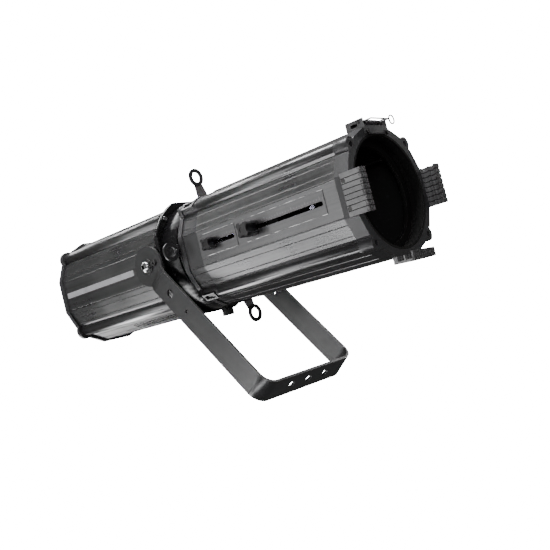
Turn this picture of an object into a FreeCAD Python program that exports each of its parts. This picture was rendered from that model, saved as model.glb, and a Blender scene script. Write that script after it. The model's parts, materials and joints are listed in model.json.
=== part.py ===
import FreeCAD, Part
import math
import os

import Sketcher

# Ellipsoidal spotlight. The row frame has its origin at the yoke's centre mounting hole, on the outer
# face of the crossbar; +X is the beam and +Z is up. Lamp parts are drawn about the tilt pivot, with the
# optical axis on X, and the yoke is drawn with its arms along X; each part's Placement then puts it
# into the row frame. The beam's right side, seen from behind, is -Y and carries the lens knobs.

DIMENSIONS = {
    # yoke
    "yoke_reach": 290.0,
    "yoke_angle": 51.4,
    "yoke_width": 40.0,
    "yoke_gauge": 4.0,
    "yoke_outer": 103.4,
    "yoke_joggle": 5.0,
    "yoke_bend": 18.0,
    "disc_radius": 32.0,
    "pivot_radius": 6.0,
    "hook_hole": 6.5,
    "hook_pitch": 40.0,
    "lock_orbit": 17.0,
    "lock_angle": 7.0,
    "arm_hole_large": 6.5,
    "arm_hole_small": 3.0,
    "arm_hole_near": 65.7,
    "arm_hole_far": 108.5,
    # shared lobed section of the housing and barrel
    "panel_half": 88.0,
    "panel_edge": 27.5,
    "facet_far": 75.2,
    "facet_near": 54.5,
    "ear_offset": 65.2,
    "ear_radius": 10.0,
    "screw_hole": 2.1,
    # rear housing
    "cap_rear": -255.0,
    "housing_rear": -247.0,
    "housing_front": 22.0,
    "housing_grow": 0.5,
    "housing_bore": 84.5,
    "cap_grow": 5.0,
    "vent_width": 4.0,
    "socket_z": -52.0,
    "socket_pitch": 40.0,
    "inlet_y": -43.0,
    "inlet_z": -47.0,
    "menu_y": 38.0,
    "menu_z": 51.0,
    "loop_y": 62.0,
    "loop_half": 17.0,
    "loop_reach": 11.5,
    "loop_wire": 2.5,
    "stripe_rear": -242.0,
    "stripe_front": -50.0,
    "stripe_width": 9.5,
    "vent_first": -136.0,
    "vent_pitch": 8.0,
    "plate_front": 30.0,
    "plate_radius": 101.0,
    "plate_flat": 92.5,
    "plate_screw_orbit": 95.6,
    "washer_radius": 12.0,
    "bolt_head": 8.6,
    # gate and shutters
    "collar_front": 72.0,
    "collar_radius": 90.0,
    "collar_bore": 85.0,
    "bearing_radius": 84.7,
    "aperture": 25.0,
    "plate_gauge": 0.8,
    "blade_gauge": 1.5,
    "blade_half": 34.0,
    "blade_tip": 100.2,
    "blade_shoulder": 66.2,
    "ring_outer": 14.5,
    "ring_inner": 8.5,
    "ring_gauge": 3.0,
    "strap_end": 9.2,
    "strap_half": 11.0,
    "rivet_inset": 11.6,
    "lock_x": 50.0,
    # barrel
    "flange_front": 80.0,
    "tube_rear": 113.0,
    "tube_front": 380.0,
    "tube_bore": 83.0,
    "slot_z": 2.0,
    "slot_height": 6.0,
    "zoom_rear": 137.0,
    "zoom_front": 188.0,
    "focus_rear": 222.0,
    "focus_front": 354.0,
    "knob_inset": 4.0,
    "zoom_grip": 10.5,
    "zoom_tip": 104.0,
    "focus_grip": 12.0,
    "focus_tip": 112.0,
    "stud_radius": 2.7,
    "carrier_radius": 82.6,
    "lens_radius": 62.0,
    "rod_orbit": 76.0,
    "rod_radius": 3.0,
    "trim_low": -14.0,
    "trim_high": 19.5,
    "trim_gauge": 0.8,
    "clip_rear": 80.2,
    "clip_front": 105.8,
    "clip_half": 6.5,
    "clip_seat": 97.0,
    # light engine
    "sink_rear": -195.0,
    "sink_front": -103.0,
    "sink_core": 24.0,
    "fin_tip": 60.0,
    "fin_half": 1.0,
    "fan_rear": -232.0,
    "fan_front": -207.0,
    "fan_half": 46.0,
    "duct_radius": 43.5,
    "hub_radius": 17.0,
    "bowl_long": 94.2,
    "bowl_wide": 56.5,
    "bowl_gauge": 2.0,
    "bowl_middle": -18.5,
    "card_face": -68.0,
    "card_gauge": 1.6,
    # pivots
    "boss_radius": 21.0,
    "pad_radius": 13.2,
    "washer_gauge": 2.0,
    "bolt_rise": 8.0,
    "socket_half": 3.0,
    "lock_cap": 4.6,
    # screws
    "screw_shank": 2.0,
    "small_shank": 1.6,
    "small_tap": 1.65,
    "small_head": 3.0,
    # front ring and colour-frame holders
    "ring_front": 403.0,
    "mouth_radius": 77.0,
    "holder_rear": 396.0,
    "holder_front": 428.0,
    "holder_half": 28.0,
    "holder_outer": 98.0,
    "holder_lip": 85.5,
    "latch_x": 397.0,
    "latch_z": 96.5,
}
QUARTERS = (0, 90, 180, 270)
DIAGONALS = (45, 135, 225, 315)
SIDES = (-1, 1)
SHUTTER_PLANES = (60, 63, 66, 69)
SHUTTER_SIDES = ("left", "top", "right", "bottom")
# each blade's direction about the axis, its ring's distance from the axis, and its sideways offset
SHUTTER_SETTINGS = ((0, 110, 0), (103, 122.4, -14.4), (180, 106.5, -8), (287, 116.9, 4))
FINS = 24
FAN_BLADES = 7
BLADE_PITCH = 35
VENT_SIDES = (64.6, 115.4, 244.6, 295.4)
VENTS_PER_SIDE = 14
EXHAUST_SLOTS = 7
HOLDER_SCREWS = ("-18", "18")
# the tall components on the driver board: their stretch along X, along Y, and their height
CARD_BLOCKS = (
    (("-180", "-160"), ("-14", "14"), 11),
    (("-150", "-132"), ("-18", "0"), 9),
    (("-150", "-126"), ("6", "22"), 8),
    (("-122", "-112"), ("-12", "12"), 6),
)

doc = FreeCAD.newDocument("spotlight")
sheet = doc.addObject("Spreadsheet::Sheet", "dims")
for row, (alias, number) in enumerate(DIMENSIONS.items(), start=1):
    sheet.set(f"A{row}", alias)
    sheet.set(f"B{row}", str(number))
    sheet.setAlias(f"B{row}", alias)
doc.recompute()

LAMP = ("-dims.yoke_reach * cos(dims.yoke_angle)", "dims.yoke_reach * sin(dims.yoke_angle)")
SOCKETS = [("0", "dims.socket_z"), ("dims.socket_pitch", "dims.socket_z")]
MENU = ("dims.menu_y", "dims.menu_z")
APRON_SCREWS = [("-23", "81.5"), ("23", "81.5")]
HINGE = ("dims.latch_x", "dims.latch_z")
HOLDER_SIDES = {"left": 0, "right": 180, "bottom": 270}
AXIS_ROTATION = {
    "x": FreeCAD.Rotation(FreeCAD.Vector(0, 1, 0), 90),
    "y": FreeCAD.Rotation(FreeCAD.Vector(1, 0, 0), -90),
    "z": FreeCAD.Rotation(),
}
parts = []


def evaluate(expression):
    """The number that an expression on the sheet gives."""
    return float(sheet.evalExpression(expression.replace("dims.", "")))


def bind(item, **expressions):
    """Tie properties of one object to expressions on the sheet."""
    for name, expression in expressions.items():
        item.setExpression(name, str(expression))


def move(item, x="0", y="0", z="0"):
    """Tie an object's base point to expressions."""
    for letter, expression in zip("xyz", (x, y, z)):
        item.setExpression(f"Placement.Base.{letter}", str(expression))


def box(x, y, z):
    """A block from three (low, high) pairs of expressions."""
    item = doc.addObject("Part::Box", "block")
    for name, (low, high) in zip(("Length", "Width", "Height"), (x, y, z)):
        item.setExpression(name, f"({high}) - ({low})")
    move(item, x[0], y[0], z[0])
    return item


def turned(item, degrees):
    """Turn an object's base point and its axes about the optical axis."""
    wrapper = doc.addObject("Part::Compound", "turned")
    wrapper.Links = [item]
    wrapper.Placement.Rotation = FreeCAD.Rotation(FreeCAD.Vector(1, 0, 0), degrees)
    return wrapper


def rod(axis, radius, low, high, across=("0", "0"), sector=None):
    """A cylinder along one axis between two stations; across holds its other two coordinates in order."""
    item = doc.addObject("Part::Cylinder", "rod")
    item.Placement.Rotation = AXIS_ROTATION[axis]
    bind(item, Radius=radius, Height=f"({high}) - ({low})")
    if sector is not None:
        bind(item, Angle=sector)
    first, second = across
    place = {"x": (low, first, second), "y": (first, low, second), "z": (first, second, low)}[axis]
    move(item, *place)
    return item


def ball(radius, x="0", y="0", z="0"):
    item = doc.addObject("Part::Sphere", "ball")
    bind(item, Radius=radius)
    move(item, x, y, z)
    return item


def fuse(*items):
    item = doc.addObject("Part::MultiFuse", "joined")
    item.Shapes = list(items)
    return item


def group(*items):
    item = doc.addObject("Part::Compound", "group")
    item.Links = list(items)
    return item


def cut(base, *tools):
    item = doc.addObject("Part::Cut", "trimmed")
    item.Base = base
    item.Tool = tools[0] if len(tools) == 1 else fuse(*tools)
    return item


def common(first, second):
    item = doc.addObject("Part::Common", "shared")
    item.Base = first
    item.Tool = second
    return item


def tube(axis, outer, inner, low, high, across=("0", "0")):
    """A hollow cylinder, its bore cut a little past both ends."""
    bore = rod(axis, inner, f"({low}) - 1", f"({high}) + 1", across)
    return cut(rod(axis, outer, low, high, across), bore)


def part(label, item):
    """Name a lamp part and put it into the row frame."""
    item.Label = label
    move(item, LAMP[0], "0", LAMP[1])
    parts.append(item)
    return item


def on_circle(orbit, degrees):
    """Y and Z expressions of a point on a circle about the optical axis."""
    return f"({orbit}) * cos({degrees})", f"({orbit}) * sin({degrees})"


# Sketch-based bodies


def new_sketch(body, role, offset="0"):
    """A sketch on one of the body's own origin planes, moved along its normal."""
    plane = next(f for f in body.Origin.OriginFeatures if f.Role == role)
    sketch = body.newObject("Sketcher::SketchObject", "sketch")
    sketch.AttachmentSupport = [(plane, "")]
    sketch.MapMode = "FlatFace"
    sketch.setExpression("AttachmentOffset.Base.z", offset)
    return sketch


def dimension(sketch, kind, geometry, point, expression):
    """Place one point of a sketch with a bound distance from its origin."""
    constraint = Sketcher.Constraint(kind, -1, 1, geometry, point, evaluate(expression))
    sketch.setExpression(f"Constraints[{sketch.addConstraint(constraint)}]", expression)


def draw_polygon(sketch, points):
    """A closed outline whose corners are pairs of expressions."""
    corners = [FreeCAD.Vector(evaluate(x), evaluate(y), 0) for x, y in points]
    count = len(corners)
    for index in range(count):
        sketch.addGeometry(Part.LineSegment(corners[index], corners[(index + 1) % count]))
    for index in range(count):
        sketch.addConstraint(Sketcher.Constraint("Coincident", index, 2, (index + 1) % count, 1))
    for index, (x, y) in enumerate(points):
        dimension(sketch, "DistanceX", index, 1, x)
        dimension(sketch, "DistanceY", index, 1, y)


def draw_circles(sketch, circles):
    """Circles given as x, y and radius expressions."""
    for index, (x, y, radius) in enumerate(circles):
        centre = FreeCAD.Vector(evaluate(x), evaluate(y), 0)
        sketch.addGeometry(Part.Circle(centre, FreeCAD.Vector(0, 0, 1), evaluate(radius)))
        number = sketch.addConstraint(Sketcher.Constraint("Radius", index, evaluate(radius)))
        sketch.setExpression(f"Constraints[{number}]", radius)
        dimension(sketch, "DistanceX", index, 3, x)
        dimension(sketch, "DistanceY", index, 3, y)


def pad(body, sketch, length, midplane=False):
    feature = body.newObject("PartDesign::Pad", "pad")
    feature.Profile = sketch
    feature.Midplane = midplane
    bind(feature, Length=length)
    return feature


def drill_through(body, sketch):
    """A pocket through everything, both ways from its sketch."""
    feature = body.newObject("PartDesign::Pocket", "pocket")
    feature.Profile = sketch
    feature.Type = "ThroughAll"
    feature.Midplane = True
    return feature


def revolved(points):
    """A body turned about the optical axis from an outline of x and radius pairs."""
    body = doc.addObject("PartDesign::Body", "turned_body")
    sketch = new_sketch(body, "XZ_Plane")
    draw_polygon(sketch, points)
    feature = body.newObject("PartDesign::Revolution", "revolution")
    feature.Profile = sketch
    feature.ReferenceAxis = (sketch, ["H_Axis"])
    feature.Angle = 360
    return body


def prism(role, points, low, high):
    """A body padded from an outline between two stations along the plane's normal."""
    body = doc.addObject("PartDesign::Body", "prism")
    sketch = new_sketch(body, role, low)
    draw_polygon(sketch, points)
    pad(body, sketch, f"({high}) - ({low})")
    return body


# The lobed section: four flat panels, sloping facets between them and a screw ear on each diagonal


def notch(start, end, fraction, depth):
    """Three points of a V groove part of the way along an outline edge."""
    along = (end - start) / (end - start).Length
    inward = FreeCAD.Vector(0, along.z, -along.y) * -depth
    middle = start + (end - start) * fraction
    return [middle - along * depth, middle + inward, middle + along * depth]


def lobed_section(grow, groove=0.7):
    """The section's face in the YZ plane, offset outwards by grow."""
    half = evaluate("dims.panel_half") + grow
    edge = evaluate("dims.panel_edge")
    far = evaluate("dims.facet_far") + 0.86 * grow
    near = evaluate("dims.facet_near") + 0.5 * grow
    ear = evaluate("dims.ear_offset")
    radius = evaluate("dims.ear_radius") + grow
    gap = (2 * ear - far - near) / math.sqrt(2)
    reach = math.sqrt(radius**2 - gap**2) / math.sqrt(2)
    middle = (far + near) / 2
    panel = FreeCAD.Vector(0, half, 0)
    corner = FreeCAD.Vector(0, half, edge)
    valley = FreeCAD.Vector(0, far, near)
    root = FreeCAD.Vector(0, middle + reach, middle - reach)
    if groove:
        line = notch(panel, corner, 0.93, groove) + [corner]
        line += notch(corner, valley, 0.28, groove) + notch(corner, valley, 0.82, groove)
    else:
        line = [corner]
    line += [valley, root]
    mirrored = [FreeCAD.Vector(0, point.z, point.y) for point in reversed(line)]
    crown = ear + radius / math.sqrt(2)
    edges = []
    last = None
    for degrees in QUARTERS:
        turn = FreeCAD.Rotation(FreeCAD.Vector(1, 0, 0), degrees)
        rising = [turn.multVec(point) for point in line]
        falling = [turn.multVec(point) for point in mirrored]
        if last is None:
            first = rising[0]
        else:
            edges.append(Part.makeLine(last, rising[0]))
        edges += [Part.makeLine(a, b) for a, b in zip(rising, rising[1:])]
        top = turn.multVec(FreeCAD.Vector(0, crown, crown))
        edges.append(Part.Arc(rising[-1], top, falling[0]).toShape())
        edges += [Part.makeLine(a, b) for a, b in zip(falling, falling[1:])]
        last = falling[-1]
    edges.append(Part.makeLine(last, first))
    section = doc.addObject("Part::Feature", "section")
    section.Shape = Part.Face(Part.Wire(edges))
    return section


def lobed(grow, low, high, groove=0.7):
    """A length of the lobed section along the optical axis."""
    section = lobed_section(evaluate(str(grow)), groove)
    item = doc.addObject("Part::Extrusion", "lobed")
    item.Base = section
    item.DirMode = "Custom"
    item.Dir = FreeCAD.Vector(1, 0, 0)
    item.Solid = True
    bind(item, LengthFwd=f"({high}) - ({low})")
    move(section, low)
    return item


def diagonal_rods(radius, low, high, orbit="dims.ear_offset * sqrt(2)"):
    """One rod along X on each diagonal."""
    return [rod("x", radius, low, high, on_circle(orbit, degrees)) for degrees in DIAGONALS]


# Yoke


def build_yoke():
    """The bent flat bar, drawn with its arms along X from the pivot."""
    body = doc.addObject("PartDesign::Body", "yoke_blank")
    inner = "dims.yoke_outer - dims.yoke_gauge"
    outer = "dims.yoke_outer"
    shift = "dims.yoke_joggle"
    half = [
        ("0", f"{inner} - {shift}"),
        ("20", f"{inner} - {shift}"),
        ("34", inner),
        ("dims.yoke_reach - dims.yoke_gauge", inner),
    ]
    back = [
        ("dims.yoke_reach", outer),
        ("36", outer),
        ("22", f"{outer} - {shift}"),
        ("0", f"{outer} - {shift}"),
    ]
    flip = [(x, f"-({y})") for x, y in half + back]
    profile = new_sketch(body, "XY_Plane")
    draw_polygon(profile, half + flip[3::-1] + flip[:3:-1] + back)
    pad(body, profile, "dims.yoke_width", midplane=True)
    round_corner(body, "dims.yoke_reach - dims.yoke_gauge", inner, "dims.yoke_bend")
    round_corner(body, "dims.yoke_reach", outer, "dims.yoke_bend + dims.yoke_gauge")
    for offset in (f"{inner} - {shift}", f"{shift} - {outer}"):
        disc = new_sketch(body, "XZ_Plane", offset)
        draw_circles(disc, [("0", "0", "dims.disc_radius")])
        pad(body, disc, "dims.yoke_gauge")
    arm_holes = new_sketch(body, "XZ_Plane")
    holes = [
        ("0", "0", "dims.pivot_radius + 0.05"),
        ("dims.arm_hole_near", "0", "dims.arm_hole_large"),
        ("dims.arm_hole_far", "0", "dims.arm_hole_small"),
        (*on_circle("dims.lock_orbit", "dims.lock_angle + dims.yoke_angle"), "3.05"),
    ]
    draw_circles(arm_holes, holes)
    drill_through(body, arm_holes)
    hook_holes = new_sketch(body, "YZ_Plane")
    pitch = "dims.hook_pitch"
    holes = [(y, "0", "dims.hook_hole") for y in ("0", pitch, f"-{pitch}")]
    draw_circles(hook_holes, holes)
    drill_through(body, hook_holes)
    body.Label = "yoke"
    body.Placement.Rotation = FreeCAD.Rotation(FreeCAD.Vector(0, 1, 0), 1)
    body.setExpression("Placement.Rotation.Angle", "dims.yoke_angle")
    move(body, LAMP[0], "0", LAMP[1])
    parts.append(body)


def round_corner(body, x, y, radius):
    """Round the two edges that run across the bar's width at x and plus or minus y."""
    doc.recompute()
    base = body.Tip
    names = []
    for number, edge in enumerate(base.Shape.Edges, start=1):
        centre = edge.CenterOfMass
        upright = abs(edge.tangentAt(edge.FirstParameter).z) > 0.99
        if upright and abs(centre.x - evaluate(x)) < 0.01 and abs(abs(centre.y) - evaluate(y)) < 0.01:
            names.append(f"Edge{number}")
    feature = body.newObject("PartDesign::Fillet", "bend")
    feature.Base = (base, names)
    bind(feature, Radius=radius)


# Rear housing and what closes it


def build_housing():
    shell = lobed("dims.housing_grow", "dims.housing_rear", "dims.housing_front")
    bore = rod("x", "dims.housing_bore", "dims.housing_rear - 1", "dims.housing_front + 1")
    ports = diagonal_rods("dims.screw_hole", "dims.housing_rear - 1", "dims.housing_rear + 30")
    front = ("dims.housing_front - 30", "dims.housing_front + 1")
    ports += diagonal_rods("dims.screw_hole", *front, "dims.plate_screw_orbit")
    pivots = rod("y", "dims.pivot_radius + 0.05", "-95", "95")
    vents = []
    for side in VENT_SIDES:
        for count in range(VENTS_PER_SIDE):
            rear = f"dims.vent_first + {count} * dims.vent_pitch"
            slot = box((rear, f"{rear} + dims.vent_width"), ("82", "94"), ("-8", "8"))
            vents.append(turned(slot, side))
    part("rear_housing", cut(shell, bore, pivots, *ports, *vents))
    stripes = []
    for side in SIDES:
        inner = "dims.panel_half + dims.housing_grow"
        pair = sided(side, inner, f"{inner} + 0.8")
        width = ("-dims.stripe_width / 2", "dims.stripe_width / 2")
        stripes.append(box(("dims.stripe_rear", "dims.stripe_front"), pair, width))
    part("side_stripes", group(*stripes))


def sided(side, near, far):
    """The (low, high) pair of a stretch that lies near to far from the axis on one side."""
    return (near, far) if side > 0 else (f"-({far})", f"-({near})")


def build_cap():
    """The rear cap with its exhaust slots, and the screws that hold it."""
    plate = lobed("dims.cap_grow", "dims.cap_rear", "dims.housing_rear", groove=0)
    through = ("dims.cap_rear - 1", "dims.housing_rear + 1")
    openings = diagonal_rods("dims.screw_hole", *through)
    for row in range(EXHAUST_SLOTS):
        low = -27 + 8 * row
        openings.append(box(through, ("-26", "26"), (str(low), f"{low} + dims.vent_width")))
    openings.append(around_inlet(through, "14", "10"))
    openings += [rod("x", "11.6", *through, place) for place in SOCKETS]
    openings.append(box(("dims.cap_rear - 1", "dims.cap_rear + 3"), ("-44", "10"), ("40", "62")))
    openings.append(rod("x", "3.05", *through, MENU))
    part("rear_cap", cut(plate, *openings))
    screws = []
    for degrees in DIAGONALS:
        place = on_circle("dims.ear_offset * sqrt(2)", degrees)
        head = rod("x", "4", "dims.cap_rear - 2.5", "dims.cap_rear", place)
        shank = rod("x", "dims.screw_shank", "dims.cap_rear - 0.5", "dims.cap_rear + 24", place)
        screws.append(fuse(head, shank))
    part("rear_cap_screws", group(*screws))


def around_inlet(stretch, half_width, half_height):
    """A block of the given half sizes about the power inlet's centre."""
    width = (f"dims.inlet_y - {half_width}", f"dims.inlet_y + {half_width}")
    height = (f"dims.inlet_z - {half_height}", f"dims.inlet_z + {half_height}")
    return box(stretch, width, height)


def build_sockets():
    """The power inlet, the two data sockets, the display and the menu knob."""
    rear = "dims.cap_rear"
    shell = around_inlet((f"{rear} - 2", rear), "18", "13")
    body = around_inlet((f"{rear} - 1", f"{rear} + 22"), "13.8", "9.8")
    well = around_inlet((f"{rear} - 3", f"{rear} + 12"), "11", "7")
    pins = []
    for step in (-6, 0, 6):
        place = (f"dims.inlet_y + {step}", "dims.inlet_z")
        pins.append(rod("x", "1.6", f"{rear} + 4", f"{rear} + 13", place))
    part("power_inlet", fuse(cut(fuse(shell, body), well), *pins))
    sockets = []
    for place in SOCKETS:
        flange = rod("x", "14", f"{rear} - 2", rear, place)
        barrel = rod("x", "11.5", f"{rear} - 1", f"{rear} + 20", place)
        mouth = rod("x", "9.5", f"{rear} - 3", f"{rear} + 10", place)
        sockets.append(cut(fuse(flange, barrel), mouth))
    part("data_sockets", group(*sockets))
    part("display_window", box((f"{rear} - 0.4", f"{rear} + 3"), ("-43.9", "9.9"), ("40.1", "61.9")))
    grip = fluted("x", "9", f"{rear} - 14", f"{rear} - 0.6", 16, 1.2, MENU)
    part("menu_knob", fuse(grip, rod("x", "3", f"{rear} - 1", f"{rear} + 14", MENU)))


def fluted(axis, radius, low, high, count, flute, across=("0", "0")):
    """A round grip with flutes cut along its rim."""
    tools = []
    for index in range(count):
        turn = 360 / count * index
        orbit = f"({radius}) + {flute / 2}"
        place = (f"({across[0]}) + ({orbit}) * cos({turn})", f"({across[1]}) + ({orbit}) * sin({turn})")
        tools.append(rod(axis, str(flute), f"({low}) - 1", f"({high}) + 1", place))
    return cut(rod(axis, radius, low, high, across), *tools)


def build_safety_loop():
    """The round-wire loop for a safety cable, on the rear face."""
    wire = "dims.loop_wire"
    back = "dims.cap_rear - dims.loop_reach"
    ends = ("-dims.loop_half", "dims.loop_half")
    legs = [rod("x", wire, back, "dims.cap_rear", ("dims.loop_y", z)) for z in ends]
    elbows = [ball(wire, back, "dims.loop_y", z) for z in ends]
    part("safety_loop", fuse(rod("z", wire, *ends, (back, "dims.loop_y")), *legs, *elbows))


# Light engine


def build_engine():
    stretch = ("dims.sink_rear", "dims.sink_front")
    core = rod("x", "dims.sink_core", *stretch)
    width = ("dims.sink_core - 2", "dims.fin_tip")
    fins = []
    for index in range(FINS):
        fins.append(turned(box(stretch, width, ("-dims.fin_half", "dims.fin_half")), 360 / FINS * index))
    base = rod("x", "44", "dims.sink_front - 1", "dims.sink_front + 4")
    part("heat_sink", fuse(core, base, *fins))
    board = fuse(rod("x", "24", "-99", "-97.4"), rod("x", "11", "-98", "-95.4"))
    part("led_board", board)
    outer = ellipsoid("dims.bowl_long", "dims.bowl_wide")
    inner = ellipsoid("dims.bowl_long - dims.bowl_gauge", "dims.bowl_wide - dims.bowl_gauge")
    shell = common(cut(outer, inner), rod("x", "70", "-92", "-21"))
    rim = tube("x", "80", "55.5", "-22", "-20")
    part("reflector", fuse(shell, rim))
    square = ("-dims.fan_half", "dims.fan_half")
    frame = box(("dims.fan_rear", "dims.fan_front"), square, square)
    through = ("dims.fan_rear - 1", "dims.fan_front + 1")
    duct = rod("x", "dims.duct_radius", *through)
    struts = ("dims.fan_rear", "dims.fan_rear + 2.5")
    bridge = [rod("x", "dims.hub_radius", *struts)]
    for degrees in QUARTERS:
        arm = box(struts, ("dims.hub_radius - 2", "dims.duct_radius + 1"), ("-2", "2"))
        bridge.append(turned(arm, degrees))
    corners = ("-40", "40")
    holes = [rod("x", "2.2", *through, (y, z)) for y in corners for z in corners]
    part("fan_frame", fuse(cut(frame, duct, *holes), *bridge))
    blades = []
    for index in range(FAN_BLADES):
        blade = box(("-9", "9"), ("dims.hub_radius - 3", "dims.duct_radius - 2"), ("-0.8", "0.8"))
        pitched = doc.addObject("Part::Compound", "pitched")
        pitched.Links = [blade]
        pitched.Placement.Rotation = FreeCAD.Rotation(FreeCAD.Vector(0, 1, 0), BLADE_PITCH)
        ring = turned(pitched, 360 / FAN_BLADES * index)
        move(ring, "dims.fan_rear + 14")
        blades.append(ring)
    part("fan_rotor", fuse(rod("x", "dims.hub_radius", "dims.fan_rear + 3.5", "dims.fan_front - 1"), *blades))
    card = box(("-190", "-106"), ("-36", "36"), ("dims.card_face", "dims.card_face + dims.card_gauge"))
    blocks = []
    for along, across, drop in CARD_BLOCKS:
        blocks.append(box(along, across, (f"dims.card_face - {drop}", "dims.card_face")))
    part("driver_board", fuse(card, *blocks))


def ellipsoid(along, across):
    """An ellipsoid of revolution whose front focus lies in the gate."""
    item = doc.addObject("Part::Ellipsoid", "ellipsoid")
    item.Placement.Rotation = AXIS_ROTATION["x"]
    bind(item, Radius1=along, Radius2=across, Radius3=across)
    move(item, "dims.bowl_middle")
    return item


# Tilt pivots


def build_pivots():
    panel = "dims.panel_half + dims.housing_grow"
    disc_inner = "dims.yoke_outer - dims.yoke_gauge - dims.yoke_joggle"
    disc_outer = "dims.yoke_outer - dims.yoke_joggle"
    hole = "dims.pivot_radius + 0.05"
    washer = "dims.washer_radius"
    lock = on_circle("dims.lock_orbit", "dims.lock_angle")
    square = ("-dims.socket_half", "dims.socket_half")
    bosses = []
    pads = []
    washers = []
    bolts = []
    nuts = []
    locks = []
    for side in SIDES:
        low, high = sided(side, panel, f"{disc_inner} - 2")
        bosses.append(tube("y", "dims.boss_radius", hole, low, high))
        gap = sided(side, f"{disc_inner} - 2", f"{disc_inner} - 0.1")
        pads.append(tube("y", "dims.pad_radius", hole, *gap))
        face = f"{disc_outer} + dims.washer_gauge"
        washers.append(tube("y", washer, hole, *sided(side, f"{disc_outer} + 0.1", face)))
        shank = rod("y", "dims.pivot_radius", *sided(side, "70", f"{face} + 1"))
        head = rod("y", "dims.bolt_head", *sided(side, face, f"{face} + dims.bolt_rise"))
        dome = ball("dims.bolt_rise + 2", "0", f"{side} * ({face} - 1)")
        socket = box(square, sided(side, f"{face} + 3.5", f"{face} + 12"), square)
        bolts.append(cut(fuse(shank, common(head, dome)), socket))
        thread = rod("y", hole, *sided(side, "70", "85"))
        nuts.append(cut(hexagon("y", 9.5, *sided(side, "72", "83")), thread))
        stud = rod("y", "3", *sided(side, f"{disc_inner} - 1.7", f"{disc_outer} + 1"), lock)
        cap = rod("y", "dims.lock_cap", *sided(side, disc_outer, f"{disc_outer} + 3"), lock)
        recess = box(*lock_recess(side, f"{disc_outer} + 1.5", f"{disc_outer} + 4"))
        locks.append(cut(fuse(stud, cap), recess))
    part("pivot_bosses", group(*bosses))
    part("friction_discs", group(*pads))
    part("pivot_washers", group(*washers))
    part("pivot_bolts", group(*bolts))
    part("pivot_nuts", group(*nuts))
    part("tilt_lock_screws", group(*locks))


def lock_recess(side, near, far):
    """The square recess in a lock screw's head, as three (low, high) pairs."""
    x, z = on_circle("dims.lock_orbit", "dims.lock_angle")
    return (f"{x} - 1.6", f"{x} + 1.6"), sided(side, near, far), (f"{z} - 1.6", f"{z} + 1.6")


def hexagon(axis, flat, low, high):
    """A hexagonal prism, flat being half the distance across its flats."""
    item = doc.addObject("Part::Prism", "hexagon")
    item.Polygon = 6
    item.Placement.Rotation = AXIS_ROTATION[axis]
    bind(item, Circumradius=f"{flat} / cos(30)", Height=f"({high}) - ({low})")
    place = {"x": (low, "0", "0"), "y": ("0", low, "0"), "z": ("0", "0", low)}[axis]
    move(item, *place)
    return item


# Gate and shutters


def build_gate():
    front_plate = common(
        rod("x", "dims.plate_radius", "dims.housing_front", "dims.plate_front"),
        box(
            ("dims.housing_front", "dims.plate_front"),
            ("-dims.plate_flat", "dims.plate_flat"),
            ("-dims.plate_flat", "dims.plate_flat"),
        ),
    )
    middle = rod("x", "60", "dims.housing_front - 1", "dims.plate_front + 1")
    edges = ("dims.housing_front - 1", "dims.plate_front + 1")
    holes = diagonal_rods("dims.screw_hole", *edges, "dims.plate_screw_orbit")
    part("front_plate", cut(front_plate, middle, *holes))
    screws = []
    for degrees in DIAGONALS:
        place = on_circle("dims.plate_screw_orbit", degrees)
        head = rod("x", "3.6", "dims.plate_front", "dims.plate_front + 2.4", place)
        shank = rod("x", "dims.screw_shank", "dims.plate_front - 26", "dims.plate_front + 0.5", place)
        screws.append(fuse(head, shank))
    part("front_plate_screws", group(*screws))
    groove = "dims.bearing_radius - 2"
    profile = [
        ("dims.plate_front", "74"),
        ("54.5", "74"),
        ("54.5", "dims.bearing_radius"),
        ("dims.lock_x + 3.5", "dims.bearing_radius"),
        ("dims.lock_x + 3.5", groove),
        ("dims.lock_x - 3.5", groove),
        ("dims.lock_x - 3.5", "dims.bearing_radius"),
        ("dims.plate_front", "dims.bearing_radius"),
    ]
    part("barrel_bearing", revolved(profile))
    edges = ("dims.plate_front + 0.4", "dims.collar_front")
    collar = tube("x", "dims.collar_radius", "dims.collar_bore", *edges)
    slots = []
    for plane, direction in zip(SHUTTER_PLANES, QUARTERS):
        window = box((f"{plane} - 0.75", f"{plane} + 2.25"), ("70", "95"), ("-44", "44"))
        slots.append(turned(window, direction))
    lock_hole = rod("z", "2.95", "-95", "-80", ("dims.lock_x", "0"))
    part("gate_collar", cut(collar, lock_hole, *slots))
    rim = "dims.collar_bore - 0.1"
    part("gate_plate", tube("x", rim, "dims.aperture", "58.2", "59.4"))
    guides = []
    for rear in ("61.8", "64.8", "67.8", "70.9"):
        edges = (rear, f"{rear} + dims.plate_gauge")
        guides.append(tube("x", rim, "dims.aperture + 2", *edges))
    part("shutter_guides", group(*guides))


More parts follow.
